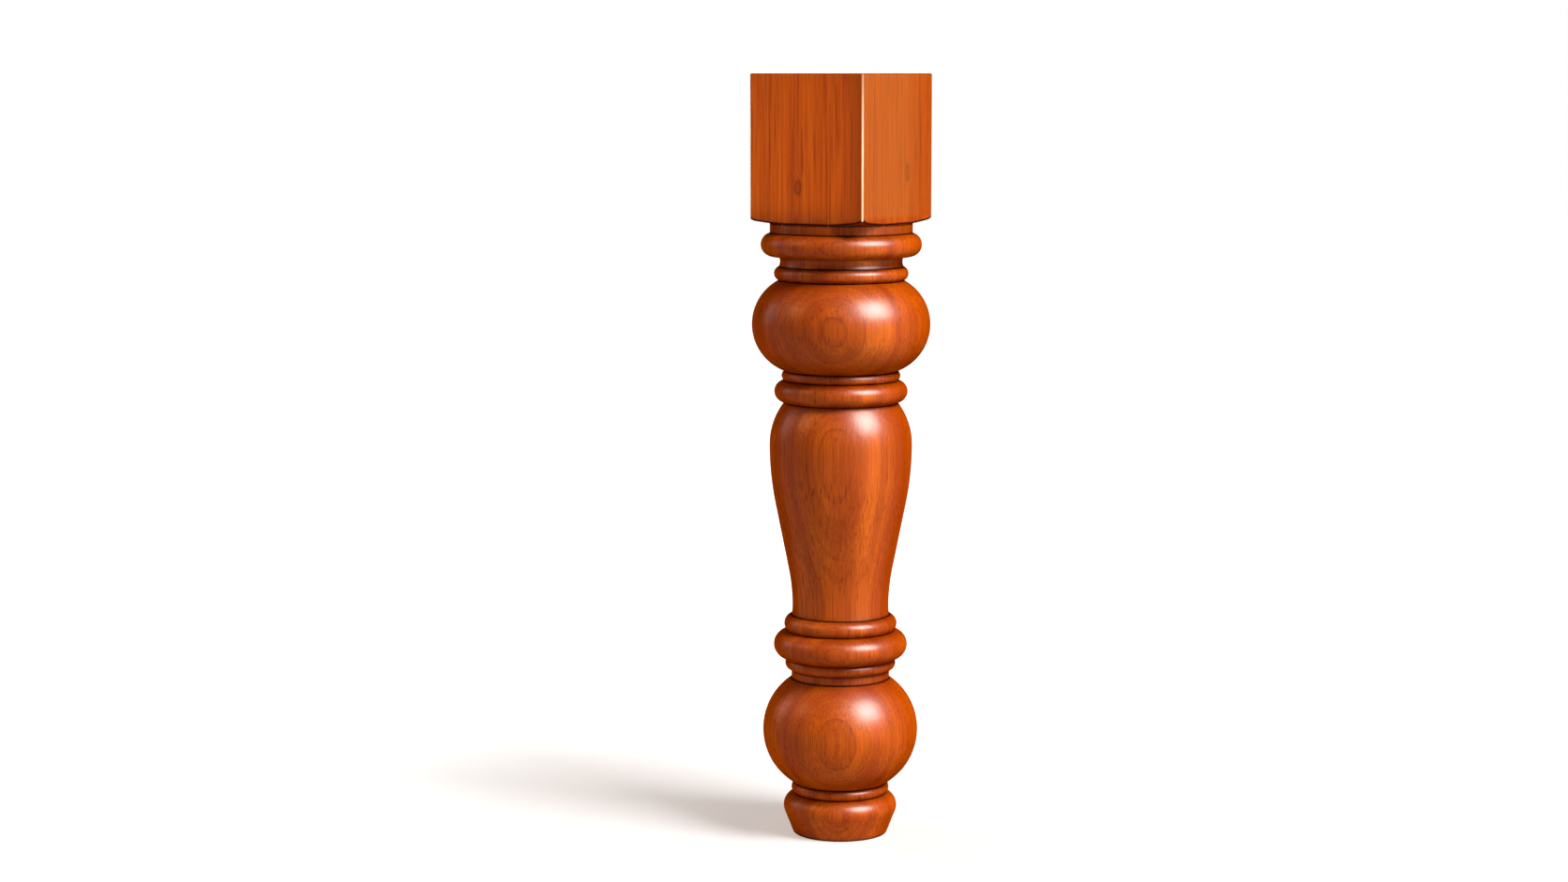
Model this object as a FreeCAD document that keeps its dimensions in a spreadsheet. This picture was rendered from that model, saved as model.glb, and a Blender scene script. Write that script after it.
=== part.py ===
"""Turned table leg with a square top block, made from one piece of wood.

The leg stands on the floor at z = 0 with its turning axis along +Z. The block's outer
faces look along -Y and +X. Its inner faces, along -X and +Y, are mortised for the rails.
"""

import FreeCAD, Part
import math
import os

import Sketcher

# Driving sizes in millimetres, shares as plain numbers and slopes in degrees.
SIZES = {
    # Foot, a cone that stands on its narrow end, with a rolled top edge.
    "foot_base_radius": 45.5,
    "foot_crest_height": 26.7,
    "foot_projection": 10.7,
    "foot_roll": 13.2,
    "foot_edge_round": 1.5,
    # Ankle, the grooves on each side of the small bead above the foot.
    "ankle_core_radius": 44.3,
    "ankle_bead_projection": 3.1,
    "ankle_bead_roll": 5.7,
    # Lower ball.
    "lower_ball_radius": 75.1,
    "lower_ball_roll": 60.6,
    # Waist, a fillet and three rolled rings below the vase.
    "waist_core_radius": 47.5,
    "waist_fillet_height": 8.4,
    "waist_ring_seat": 3.7,
    "lower_waist_bead_projection": 6.1,
    "lower_waist_bead_roll": 6.2,
    "waist_ring_projection": 17.2,
    "waist_ring_roll": 13.6,
    "upper_waist_bead_projection": 7.1,
    "upper_waist_bead_roll": 8.8,
    # Vase, hollow above its foot, full at the belly and rounded in at the shoulder.
    "vase_flare": 0.9,
    "vase_flare_height": 7.7,
    "vase_taper_height": 158.5,
    "vase_hollow_share": 0.17,
    "vase_belly_share": 0.26,
    "vase_belly_projection": 14.2,
    "vase_shoulder_roll": 66.5,
    # Collar, two rolled rings between the vase and the upper ball.
    "collar_core_radius": 54.5,
    "collar_ring_projection": 9.7,
    "collar_ring_roll": 10.5,
    "collar_bead_projection": 2.7,
    "collar_bead_roll": 5.4,
    # Upper ball.
    "upper_ball_radius": 85.7,
    "upper_ball_roll": 47.7,
    # Crown, a bead, a hollow throat and a large ring below the round neck.
    "crown_bead_projection": 4.5,
    "crown_bead_roll": 7.0,
    "throat_depth": 8.4,
    "throat_height": 9.7,
    "throat_hollow_radius": 9.5,
    "crown_ring_projection": 8.8,
    "crown_ring_roll": 11.4,
    "neck_lip": 4.9,
    "neck_height": 9.5,
    # Square block with eased corners, and the turned shoulder under its corners.
    "block_side": 127.0,
    "block_height": 141.9,
    "shoulder_slope": 9.0,
    "shoulder_roll": 7.0,
    "arris_round": 3.0,
    "top_edge_chamfer": 1.0,
    # Mortises for the tenons of the two rails.
    "rail_setback": 6.0,
    "rail_thickness": 22.0,
    "mortise_width": 12.0,
    "mortise_length": 90.0,
    "mortise_depth": 45.0,
    "mortise_top_gap": 25.0,
}

SHEET_NAME = "Sizes"
PROFILE_NAME = "Profile"
LEG_LABEL = "turned_leg"
FLATS_MARGIN_FACTOR = 1.05
ON_LEVEL = 1e-4

ORIGIN = (-1, 1)
START, END, CENTRE = 1, 2, 3
FULL_TURN = 360.0


class Size:
    """A value together with the sheet expression that it comes from."""

    def __init__(self, value, text):
        self.value = value
        self.text = text

    def __add__(self, other):
        return Size(self.value + other.value, f"({self.text} + {other.text})")

    def __sub__(self, other):
        return Size(self.value - other.value, f"({self.text} - {other.text})")

    def __mul__(self, other):
        return Size(self.value * other.value, f"({self.text} * {other.text})")

    def half(self):
        return Size(self.value / 2, f"({self.text} / 2)")

    def diagonal(self):
        return Size(self.value * math.sqrt(2), f"({self.text} * sqrt(2))")

    def minus(self):
        return Size(-self.value, f"(-{self.text})")


class Sizes:
    """The spreadsheet's cells, each read as an attribute of its own name."""

    def __init__(self, document):
        self.sheet = document.addObject("Spreadsheet::Sheet", SHEET_NAME)
        for row, (name, value) in enumerate(SIZES.items(), start=1):
            self.sheet.set(f"A{row}", name.replace("_", " "))
            self.sheet.set(f"B{row}", str(value))
            self.sheet.setAlias(f"B{row}", name)
        document.recompute()

    def __getattr__(self, name):
        return Size(float(getattr(self.sheet, name)), f"{SHEET_NAME}.{name}")


def point(across, up):
    return FreeCAD.Vector(across, up, 0)


def circle_arc(centre_across, centre_up, radius, first_angle, last_angle):
    """An arc that runs counterclockwise from the first angle to the last."""
    circle = Part.Circle(point(centre_across, centre_up), FreeCAD.Vector(0, 0, 1), radius)
    return Part.ArcOfCircle(circle, first_angle, last_angle)


def rise(roll, depth):
    """Height from a rolled member's widest point to where it is that much slimmer."""
    return math.sqrt(2 * roll * depth - depth * depth)


class Drawing:
    """A sketch on one of the body's origin planes, with sizes bound to the sheet."""

    def __init__(self, body, name, plane):
        self.sketch = body.newObject("Sketcher::SketchObject", name)
        support = next(item for item in body.Origin.OriginFeatures if item.Role == plane)
        self.sketch.AttachmentSupport = [(support, "")]
        self.sketch.MapMode = "FlatFace"

    def offset(self, distance):
        """Moves the drawing along its plane's normal."""
        self.sketch.AttachmentOffset = FreeCAD.Placement(
            FreeCAD.Vector(0, 0, distance.value), FreeCAD.Rotation())
        self.sketch.setExpression("AttachmentOffset.Base.z", distance.text)

    def add(self, shape):
        return self.sketch.addGeometry(shape, False)

    def rule(self, kind, *where):
        return self.sketch.addConstraint(Sketcher.Constraint(kind, *where))

    def size(self, kind, *where, to):
        number = self.rule(kind, *where, to.value)
        self.sketch.setExpression(f"Constraints[{number}]", to.text)

    def across(self, index, end, to):
        """Distance of a point from the sketch's upright axis."""
        self.size("DistanceX", *ORIGIN, index, end, to=to)

    def up(self, index, end, to):
        """Height of a point above the sketch's level axis."""
        self.size("DistanceY", *ORIGIN, index, end, to=to)

    def measure(self, name, index, end):
        """A named height that the drawing gives and other features read."""
        number = self.rule("DistanceY", *ORIGIN, index, end, 0.0)
        self.sketch.setDriving(number, False)
        self.sketch.renameConstraint(number, name)


class Outline(Drawing):
    """Half section of the leg, drawn from the floor up, one turned member at a time."""

    def __init__(self, body):
        super().__init__(body, PROFILE_NAME, "XZ_Plane")
        self.r = 0.0
        self.z = 0.0
        self.last = ORIGIN

    def reach(self, index, end, r, z):
        """Notes where the outline has got to: the open end and its radius and height."""
        self.last = (index, end)
        self.r, self.z = r, z

    def line(self, r, z):
        """A straight stretch from the open end to a new point."""
        index = self.add(Part.LineSegment(point(self.r, self.z), point(r, z)))
        self.rule("Coincident", *self.last, index, START)
        self.reach(index, END, r, z)
        return index

    def upright(self, height):
        """A cylinder, with the radius of the open end."""
        index = self.line(self.r, self.z + height.value)
        self.rule("Vertical", index)
        self.size("DistanceY", index, START, index, END, to=height)

    def level(self, radius):
        """A flat ledge to a new radius."""
        index = self.line(radius.value, self.z)
        self.rule("Horizontal", index)
        return index

    def rolled(self, crest, roll, top):
        """A bead, ring or ball: one arc, widest at crest, up to a groove of radius top."""
        centre_r = crest.value - roll.value
        centre_z = self.z + rise(roll.value, crest.value - self.r)
        first = -math.acos((self.r - centre_r) / roll.value)
        last = math.acos((top.value - centre_r) / roll.value)
        index = self.add(circle_arc(centre_r, centre_z, roll.value, first, last))
        self.rule("Coincident", *self.last, index, START)
        self.size("Radius", index, to=roll)
        self.across(index, CENTRE, crest - roll)
        self.across(index, END, top)
        self.reach(index, END, top.value, centre_z + rise(roll.value, crest.value - top.value))

    def draw_foot(self, base, crest_height, crest, roll, top):
        """The floor face, the cone, and the rolled edge that the cone runs into smoothly."""
        floor = self.level(base)
        self.across(floor, END, base)
        centre_r, centre_z = crest.value - roll.value, crest_height.value
        reach = math.hypot(centre_r - base.value, centre_z)
        slant = math.atan2(centre_z, centre_r - base.value) - math.asin(roll.value / reach)
        length = math.sqrt(reach**2 - roll.value**2)
        cone = self.line(base.value + length * math.cos(slant), length * math.sin(slant))
        last = math.acos((top.value - centre_r) / roll.value)
        edge = self.add(circle_arc(centre_r, centre_z, roll.value, slant - math.pi / 2, last))
        self.rule("Tangent", cone, END, edge, START)
        self.size("Radius", edge, to=roll)
        self.across(edge, CENTRE, crest - roll)
        self.up(edge, CENTRE, crest_height)
        self.across(edge, END, top)
        self.reach(edge, END, top.value, centre_z + rise(roll.value, crest.value - top.value))

    def draw_hollow(self, radius, height):
        """A hollow that starts and ends at the same radius."""
        half_angle = math.asin(height.value / 2 / radius.value)
        centre_r = self.r + radius.value * math.cos(half_angle)
        centre_z = self.z + height.value / 2
        index = self.add(
            circle_arc(centre_r, centre_z, radius.value, math.pi - half_angle, math.pi + half_angle))
        self.rule("Coincident", *self.last, index, END)
        self.rule("Vertical", index, START, index, END)
        self.size("Radius", index, to=radius)
        self.size("DistanceY", index, END, index, START, to=height)
        self.reach(index, START, self.r, self.z + height.value)

    def draw_flare(self, flare, height):
        """The vase's foot: a hollow that leaves the groove and ends upright, slimmer by flare."""
        radius = (height.value**2 + flare.value**2) / (2 * flare.value)
        waist_r, waist_z = self.r - flare.value, self.z + height.value
        sweep = math.asin(height.value / radius)
        index = self.add(circle_arc(waist_r + radius, waist_z, radius, math.pi, math.pi + sweep))
        self.rule("Coincident", *self.last, index, END)
        self.rule("Horizontal", index, START, index, CENTRE)
        self.size("DistanceX", index, START, index, END, to=flare)
        self.size("DistanceY", index, END, index, START, to=height)
        self.reach(index, START, waist_r, waist_z)

    def draw_taper(self, growth, height, hollow_share, belly_share):
        """The vase's long curve: hollow from the upright waist, straight, then full to the belly.

        The two shares say how much of the growth in radius the hollow and the belly take. Each
        curve turns by the same angle, so the shares and the height give that angle.
        """
        waist_r, waist_z = self.r, self.z
        belly_r, belly_z = waist_r + growth.value, waist_z + height.value
        curved = hollow_share.value + belly_share.value
        steepness = height.value / growth.value
        half_turn_tangent = (math.sqrt(steepness**2 + 1 - curved**2) - steepness) / (1 - curved)
        sweep = 2 * math.atan(half_turn_tangent)
        hollow_roll = growth.value * hollow_share.value / (1 - math.cos(sweep))
        belly_roll = growth.value * belly_share.value / (1 - math.cos(sweep))
        hollow = self.add(
            circle_arc(waist_r + hollow_roll, waist_z, hollow_roll, math.pi - sweep, math.pi))
        full = self.add(circle_arc(belly_r - belly_roll, belly_z, belly_roll, -sweep, 0.0))
        low = self.sketch.getPoint(hollow, START)
        high = self.sketch.getPoint(full, START)
        straight = self.add(Part.LineSegment(low, high))
        self.rule("Coincident", *self.last, hollow, END)
        self.rule("Horizontal", hollow, END, hollow, CENTRE)
        self.rule("Tangent", hollow, START, straight, START)
        self.rule("Tangent", straight, END, full, START)
        self.rule("Horizontal", full, END, full, CENTRE)
        self.size("DistanceX", hollow, END, hollow, START, to=growth * hollow_share)
        self.size("DistanceX", full, START, full, END, to=growth * belly_share)
        self.size("DistanceX", hollow, END, full, END, to=growth)
        self.size("DistanceY", hollow, END, full, END, to=height)
        self.reach(full, END, belly_r, belly_z)

    def draw_vase_shoulder(self, roll, top):
        """The vase's shoulder, rounded in from the belly to the groove above it."""
        centre_r = self.r - roll.value
        last = math.acos((top.value - centre_r) / roll.value)
        index = self.add(circle_arc(centre_r, self.z, roll.value, 0.0, last))
        self.rule("Coincident", *self.last, index, START)
        self.rule("Horizontal", index, START, index, CENTRE)
        self.size("Radius", index, to=roll)
        self.across(index, END, top)
        self.reach(index, END, top.value, self.z + rise(roll.value, self.r - top.value))

    def draw_crown_ring(self, crest, roll, neck):
        """The large ring under the neck: a full quarter round below its crest."""
        centre_r = crest.value - roll.value
        ledge = self.level(crest - roll)
        centre_z = self.z + roll.value
        last = math.acos((neck.value - centre_r) / roll.value)
        index = self.add(circle_arc(centre_r, centre_z, roll.value, -math.pi / 2, last))
        self.rule("Coincident", ledge, END, index, START)
        self.rule("Vertical", index, START, index, CENTRE)
        self.size("Radius", index, to=roll)
        self.across(index, CENTRE, crest - roll)
        self.across(index, END, neck)
        self.reach(index, END, neck.value, centre_z + rise(roll.value, crest.value - neck.value))

    def draw_block_blank(self, corner, slope, roll, height):
        """The turned shoulder out to the block's corners, and the round blank of the block."""
        angle = math.radians(slope.value)
        neck_r, base_z, base = self.r, self.z, self.last
        centre_r = corner.value - roll.value
        touch_r = centre_r + roll.value * math.sin(angle)
        touch_z = base_z + (touch_r - neck_r) * math.tan(angle)
        centre_z = touch_z + roll.value * math.cos(angle)
        cone = self.line(touch_r, touch_z)
        number = self.rule("Angle", cone, angle)
        self.sketch.setExpression(f"Constraints[{number}]", f"{slope.text} * 1 deg")
        edge = self.add(circle_arc(centre_r, centre_z, roll.value, angle - math.pi / 2, 0.0))
        self.rule("Tangent", cone, END, edge, START)
        self.rule("Horizontal", edge, CENTRE, edge, END)
        self.size("Radius", edge, to=roll)
        self.across(edge, END, corner)
        self.reach(edge, END, corner.value, centre_z)
        wall = self.line(corner.value, base_z + height.value)
        self.rule("Vertical", wall)
        self.size("DistanceY", *base, wall, END, to=height)
        self.measure("leg_length", wall, END)

    def close(self):
        """The top face and the turning axis."""
        top = self.line(0.0, self.z)
        self.rule("Horizontal", top)
        axis = self.line(0.0, 0.0)
        self.rule("Vertical", axis)
        self.rule("Coincident", axis, END, *ORIGIN)


def draw_outline(body, sizes):
    """The leg's members in order, from the floor to the top of the block."""
    ankle = sizes.ankle_core_radius
    waist = sizes.waist_core_radius
    collar = sizes.collar_core_radius
    neck = sizes.block_side.half() + sizes.neck_lip
    throat = neck - sizes.throat_depth
    seat = waist + sizes.waist_ring_seat
    belly = collar + sizes.vase_belly_projection

    outline = Outline(body)
    outline.draw_foot(sizes.foot_base_radius, sizes.foot_crest_height,
                      ankle + sizes.foot_projection, sizes.foot_roll, ankle)
    outline.rolled(ankle + sizes.ankle_bead_projection, sizes.ankle_bead_roll, ankle)
    outline.rolled(sizes.lower_ball_radius, sizes.lower_ball_roll, waist)

    outline.upright(sizes.waist_fillet_height)
    outline.rolled(waist + sizes.lower_waist_bead_projection, sizes.lower_waist_bead_roll, seat)
    outline.rolled(waist + sizes.waist_ring_projection, sizes.waist_ring_roll, seat)
    outline.rolled(waist + sizes.upper_waist_bead_projection, sizes.upper_waist_bead_roll, waist)

    outline.draw_flare(sizes.vase_flare, sizes.vase_flare_height)
    growth = belly - (waist - sizes.vase_flare)
    outline.draw_taper(growth, sizes.vase_taper_height,
                       sizes.vase_hollow_share, sizes.vase_belly_share)
    outline.draw_vase_shoulder(sizes.vase_shoulder_roll, collar)

    outline.rolled(collar + sizes.collar_ring_projection, sizes.collar_ring_roll, collar)
    outline.rolled(collar + sizes.collar_bead_projection, sizes.collar_bead_roll, collar)
    outline.rolled(sizes.upper_ball_radius, sizes.upper_ball_roll, throat)

    outline.rolled(throat + sizes.crown_bead_projection, sizes.crown_bead_roll, throat)
    outline.draw_hollow(sizes.throat_hollow_radius, sizes.throat_height)
    outline.draw_crown_ring(neck + sizes.crown_ring_projection, sizes.crown_ring_roll, neck)
    outline.upright(sizes.neck_height)
    outline.draw_block_blank(sizes.block_side.diagonal().half(), sizes.shoulder_slope,
                             sizes.shoulder_roll, sizes.block_height)
    outline.close()
    return outline


def turn(body, outline):
    """Turns the outline about the leg's axis."""
    feature = body.newObject("PartDesign::Revolution", "Turning")
    feature.Profile = outline.sketch
    feature.ReferenceAxis = (outline.sketch, ["V_Axis"])
    feature.Angle = FULL_TURN
    body.Document.recompute()


def leg_length(outline):
    value = outline.sketch.getDatum("leg_length").Value
    return Size(value, f"({PROFILE_NAME}.Constraints.leg_length / 1 mm)")


def draw_rounded_square(drawing, side, corner):
    """Four straight sides joined by corner arcs, centred on the leg's axis."""
    half = side.half()
    inset = half.value - corner.value
    turns = [(1, 1), (-1, 1), (-1, -1), (1, -1)]
    arcs = []
    for quarter, (right, back) in enumerate(turns):
        first = quarter * math.pi / 2
        arc = circle_arc(right * inset, back * inset, corner.value, first, first + math.pi / 2)
        arcs.append(drawing.add(arc))
    for quarter, arc in enumerate(arcs):
        following = arcs[(quarter + 1) % len(arcs)]
        begin = drawing.sketch.getPoint(arc, END)
        finish = drawing.sketch.getPoint(following, START)
        side_line = drawing.add(Part.LineSegment(begin, finish))
        drawing.rule("Tangent", arc, END, side_line, START)
        drawing.rule("Tangent", side_line, END, following, START)
        drawing.size("Radius", arc, to=corner)
        lies_along_x = quarter % 2 == 0
        outward = half if quarter in (0, 3) else half.minus()
        drawing.rule("Horizontal" if lies_along_x else "Vertical", side_line)
        (drawing.up if lies_along_x else drawing.across)(side_line, START, outward)


def saw_block(body, sizes, outline):
    """Takes the round blank down to the square block, as far as the neck's top.

    The neck is a little wider than the block, so a narrow ledge is left at the middle of each side.
    """
    drawing = Drawing(body, "BlockFlats", "XY_Plane")
    drawing.offset(leg_length(outline))
    beyond = sizes.block_side.diagonal().half()
    beyond = Size(beyond.value * FLATS_MARGIN_FACTOR, f"{beyond.text} * {FLATS_MARGIN_FACTOR}")
    rim = drawing.add(Part.Circle(point(0, 0), FreeCAD.Vector(0, 0, 1), beyond.value))
    drawing.rule("Coincident", rim, CENTRE, *ORIGIN)
    drawing.size("Radius", rim, to=beyond)
    draw_rounded_square(drawing, sizes.block_side, sizes.arris_round)
    cut(body, "SquareBlock", drawing, sizes.block_height, inward=False)


def cut(body, name, drawing, depth, inward):
    """A pocket of the drawing, along its plane's normal if inward and against it if not."""
    before = body.Shape.Volume
    feature = body.newObject("PartDesign::Pocket", name)
    feature.Profile = drawing.sketch
    feature.Reversed = inward
    feature.Length = depth.value
    feature.setExpression("Length", depth.text)
    body.Document.recompute()
    if not body.Shape.Volume < before:
        raise RuntimeError(f"{name} took nothing away")


def draw_mortise(drawing, sizes, outline, outer_side):
    """An upright oblong, set in from the block's outer face as the rail's tenon is.

    The outer face lies to the drawing's right if outer_side is 1 and to its left if it is -1.
    """
    top = leg_length(outline) - sizes.mortise_top_gap
    bottom = top - sizes.mortise_length
    middle = sizes.block_side.half() - sizes.rail_setback - sizes.rail_thickness.half()
    near = middle - sizes.mortise_width.half()
    far = middle + sizes.mortise_width.half()
    left, right = (near, far) if outer_side > 0 else (far.minus(), near.minus())
    corners = [point(x.value, y.value)
               for x, y in ((left, bottom), (right, bottom), (right, top), (left, top))]
    lines = []
    for number, corner in enumerate(corners):
        following = corners[(number + 1) % len(corners)]
        lines.append(drawing.add(Part.LineSegment(corner, following)))
    for number, index in enumerate(lines):
        drawing.rule("Coincident", index, END, lines[(number + 1) % len(lines)], START)
        drawing.rule("Horizontal" if number % 2 == 0 else "Vertical", index)
    drawing.across(lines[0], START, left)
    drawing.across(lines[0], END, right)
    drawing.up(lines[0], START, bottom)
    drawing.up(lines[2], START, top)


def chop_mortises(body, sizes, outline):
    """A mortise in each inner face of the block, each near the outer face beside it."""
    front_rail = Drawing(body, "FrontRailMortiseMouth", "YZ_Plane")
    front_rail.offset(sizes.block_side.half().minus())
    draw_mortise(front_rail, sizes, outline, outer_side=-1)
    cut(body, "FrontRailMortise", front_rail, sizes.mortise_depth, inward=True)

    side_rail = Drawing(body, "SideRailMortiseMouth", "XZ_Plane")
    side_rail.offset(sizes.block_side.half().minus())
    draw_mortise(side_rail, sizes, outline, outer_side=1)
    cut(body, "SideRailMortise", side_rail, sizes.mortise_depth, inward=True)


def edges_at(shape, level):
    """Names of the edges that lie wholly at one height."""
    names = []
    for number, edge in enumerate(shape.Edges, start=1):
        box = edge.BoundBox
        if abs(box.ZMin - level) < ON_LEVEL and abs(box.ZMax - level) < ON_LEVEL:
            names.append(f"Edge{number}")
    return names


def ease_ends(body, sizes):
    """A small chamfer round the block's top and a rounded edge where the foot meets the floor."""
    base = body.Tip
    chamfer = body.newObject("PartDesign::Chamfer", "TopEdge")
    chamfer.Base = (base, edges_at(base.Shape, base.Shape.BoundBox.ZMax))
    chamfer.setExpression("Size", sizes.top_edge_chamfer.text)
    body.Document.recompute()
    base = body.Tip
    fillet = body.newObject("PartDesign::Fillet", "FootEdge")
    fillet.Base = (base, edges_at(base.Shape, base.Shape.BoundBox.ZMin))
    fillet.setExpression("Radius", sizes.foot_edge_round.text)
    body.Document.recompute()


def make_leg(document, sizes):
    body = document.addObject("PartDesign::Body", "Leg")
    body.Label = LEG_LABEL
    outline = draw_outline(body, sizes)
    turn(body, outline)
    saw_block(body, sizes, outline)
    chop_mortises(body, sizes, outline)
    ease_ends(body, sizes)
    return body


def check(document, body):
    """Stops before anything is written if a feature failed or the leg isn't one sound solid."""
    for item in document.Objects:
        if "Invalid" in item.State or "Error" in item.State:
            raise RuntimeError(f"{item.Name} failed: {item.State}")
    shape = body.Shape
    if shape.isNull() or not shape.isValid() or len(shape.Solids) != 1:
        raise RuntimeError(f"{body.Label} is not one valid solid")


def main():
    document = FreeCAD.newDocument("TurnedTableLeg")
    sizes = Sizes(document)
    leg = make_leg(document, sizes)
    document.recompute()
    check(document, leg)
    os.makedirs("parts", exist_ok=True)
    leg.Shape.exportStep(f"parts/{leg.Label}.step")
    box = leg.Shape.optimalBoundingBox()
    print(f"{leg.Label}: {box.XLength:.2f} x {box.YLength:.2f} x {box.ZLength:.2f} mm,"
          f" {leg.Shape.Volume / 1e6:.3f} litres, {len(leg.Shape.Faces)} faces")


main()
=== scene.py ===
# %% [markdown]
# A turned table leg: one length of reddish timber, left square at the top for
# its two joints, turned below that into balls, beads and a long vase, then
# stained and lacquered.
#
# The part comes from CAD as a fixed frame. This lesson reads the turner's
# outline back from it, turns a finer leg on that outline, finishes the timber
# as a solid block of growth rings, and stands the leg in a plain white studio.
# Blender counts in metres. Lengths on the leg are in millimetres here, up to
# the moment its mesh is made.

# %% Load the frame
import math

import bmesh
import bpy
import numpy as np
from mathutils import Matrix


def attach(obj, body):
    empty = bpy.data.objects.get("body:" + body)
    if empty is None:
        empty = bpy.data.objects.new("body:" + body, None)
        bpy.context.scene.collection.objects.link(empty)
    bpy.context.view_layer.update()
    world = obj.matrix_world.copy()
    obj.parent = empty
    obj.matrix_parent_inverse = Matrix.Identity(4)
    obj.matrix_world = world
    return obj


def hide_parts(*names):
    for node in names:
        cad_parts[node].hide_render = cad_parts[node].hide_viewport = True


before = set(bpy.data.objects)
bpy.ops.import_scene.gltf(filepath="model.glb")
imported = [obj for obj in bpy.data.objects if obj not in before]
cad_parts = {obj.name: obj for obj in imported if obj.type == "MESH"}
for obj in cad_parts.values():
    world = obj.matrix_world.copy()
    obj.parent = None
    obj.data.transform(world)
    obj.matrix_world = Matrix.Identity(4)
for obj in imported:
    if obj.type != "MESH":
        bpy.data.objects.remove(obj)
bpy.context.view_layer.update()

# %% [markdown]
# The leg's outline is what a turner would draw on a card before starting: how
# far each point of the leg stands from the axis, and how high. It could be
# typed in again, but the CAD mesh holds it as rings of points that share one
# height and one radius, and reading the rings keeps the two models the same
# for good. A ring counts only where it has points in every sector round the
# axis, which leaves out the square block.

# %% Collect the CAD points
MM = 0.001

cad_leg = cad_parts["turned_leg"]
cad_points = np.empty(3 * len(cad_leg.data.vertices))
cad_leg.data.vertices.foreach_get("co", cad_points)
cad_points = np.unique(np.round(cad_points.reshape(-1, 3) / MM, 3), axis=0)
cad_x, cad_y, cad_height = cad_points.T
cad_radius = np.hypot(cad_x, cad_y)
print("CAD points:", len(cad_points))

# %% Read the turner's outline from its rings
SECTORS = 16
SAME_RING = 0.05

places = np.round(np.column_stack([cad_height, cad_radius]), 2)
rings, ring_of = np.unique(places, axis=0, return_inverse=True)
share_of_turn = np.arctan2(cad_y, cad_x) / math.tau % 1
sector = np.floor(SECTORS * share_of_turn).astype(int)
filled = np.zeros((len(rings), SECTORS), bool)
filled[ring_of.ravel(), sector % SECTORS] = True
rings = rings[filled.all(axis=1)]
gaps = np.hypot(*np.diff(rings, axis=0).T)
rings = rings[np.append(True, gaps > SAME_RING)]
outline = rings[:, ::-1]
print("outline:", len(outline), "rings, from", outline[0], "to", outline[-1], "mm")

# %% [markdown]
# A quirk is the sharp little valley between two mouldings. Between one quirk
# and the next the outline flows, so extra points there may follow a smooth
# curve, while a quirk itself has to stay crisp. The quirks could be listed by
# hand. Here each is found by the sharp turn of the outline, so a new outline
# would bring its own.

# %% Find the quirks
SHARP_TURN = math.radians(35)

steps = np.diff(outline, axis=0)
headings = np.arctan2(steps[:, 0], steps[:, 1])
turns = np.diff(headings)
sharp = np.flatnonzero(np.abs(turns) > SHARP_TURN) + 1
quirks = set(np.flatnonzero(turns > SHARP_TURN) + 1) | {len(outline) - 1}
stretch_ends = [0, *sharp, len(outline) - 1]
print("sharp turns:", len(sharp), " quirks:", len(quirks))

# %% [markdown]
# The CAD rings lie several millimetres apart, and on the balls the chords
# between them would show as flats. A subdivision modifier would smooth them,
# but it would also soften the quirks and shrink the beads. So the outline is
# drawn again, one stretch at a time. A smooth curve passes through all the
# rings of the stretch, straight lengths stay straight, and new points are
# taken along the curve in short steps.

# %% Follow the flow of a stretch
STRAIGHT = 0.999995


def flow(points):
    """Direction of the smooth curve through the points of one stretch, at each point."""
    chords = np.diff(points, axis=0)
    lengths = np.linalg.norm(chords, axis=1)[:, None]
    units = chords / lengths
    if len(points) == 2:
        return np.vstack([units, units])
    inner = units[:-1] * lengths[1:] + units[1:] * lengths[:-1]
    inner /= np.linalg.norm(inner, axis=1)[:, None]
    in_line = np.sum(units[:-1] * units[1:], axis=1) > STRAIGHT
    straight = np.concatenate([[False], in_line, [False]])
    for i in range(1, len(points) - 1):
        if straight[i - 1] and not straight[i]:
            inner[i - 1] = units[i - 1]
        if straight[i + 1] and not straight[i]:
            inner[i - 1] = units[i]
    first = 2 * np.dot(inner[0], units[0]) * units[0] - inner[0]
    last = 2 * np.dot(inner[-1], units[-1]) * units[-1] - inner[-1]
    return np.vstack([first, inner, last])


def curve_between(start, end, start_way, end_way, shares):
    """Points of the smooth curve from start to end, at these shares of it."""
    reach = np.linalg.norm(end - start)
    t = np.asarray(shares)[:, None]
    return (
        (2 * t**3 - 3 * t**2 + 1) * start
        + (t**3 - 2 * t**2 + t) * reach * start_way
        + (3 * t**2 - 2 * t**3) * end
        + (t**3 - t**2) * reach * end_way
    )


print("stretches:", len(stretch_ends) - 1, " longest:", max(np.diff(stretch_ends)), "steps")

# %% Draw the outline again in short steps
LONGEST_STEP = 3.2
LINE_REACH = 1.6
NEAR_A_RING = 0.1

rows = [outline[0]]
row_is_quirk = [False]
for begin, stop in zip(stretch_ends[:-1], stretch_ends[1:]):
    points = outline[begin:stop + 1]
    ways = flow(points)
    reaches = np.linalg.norm(np.diff(points, axis=0), axis=1)
    travelled = np.append(0, np.cumsum(reaches))
    line_ends = [LINE_REACH] * (begin in quirks)
    line_ends += [travelled[-1] - LINE_REACH] * (stop in quirks)
    for k, reach in enumerate(reaches):
        count = max(1, math.ceil(reach / LONGEST_STEP))
        shares = set(np.arange(1, count + 1) / count)
        shares |= {(end - travelled[k]) / reach for end in line_ends}
        shares = sorted(share for share in shares
                        if NEAR_A_RING < share < 1 - NEAR_A_RING or share == 1)
        rows.extend(curve_between(points[k], points[k + 1], ways[k], ways[k + 1], shares))
        row_is_quirk.extend([False] * (len(shares) - 1) + [begin + k + 1 in quirks])
rows = np.array(rows)
row_is_quirk = np.array(row_is_quirk)
print("turned rows:", len(rows), " of them quirks:", row_is_quirk.sum())

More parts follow.
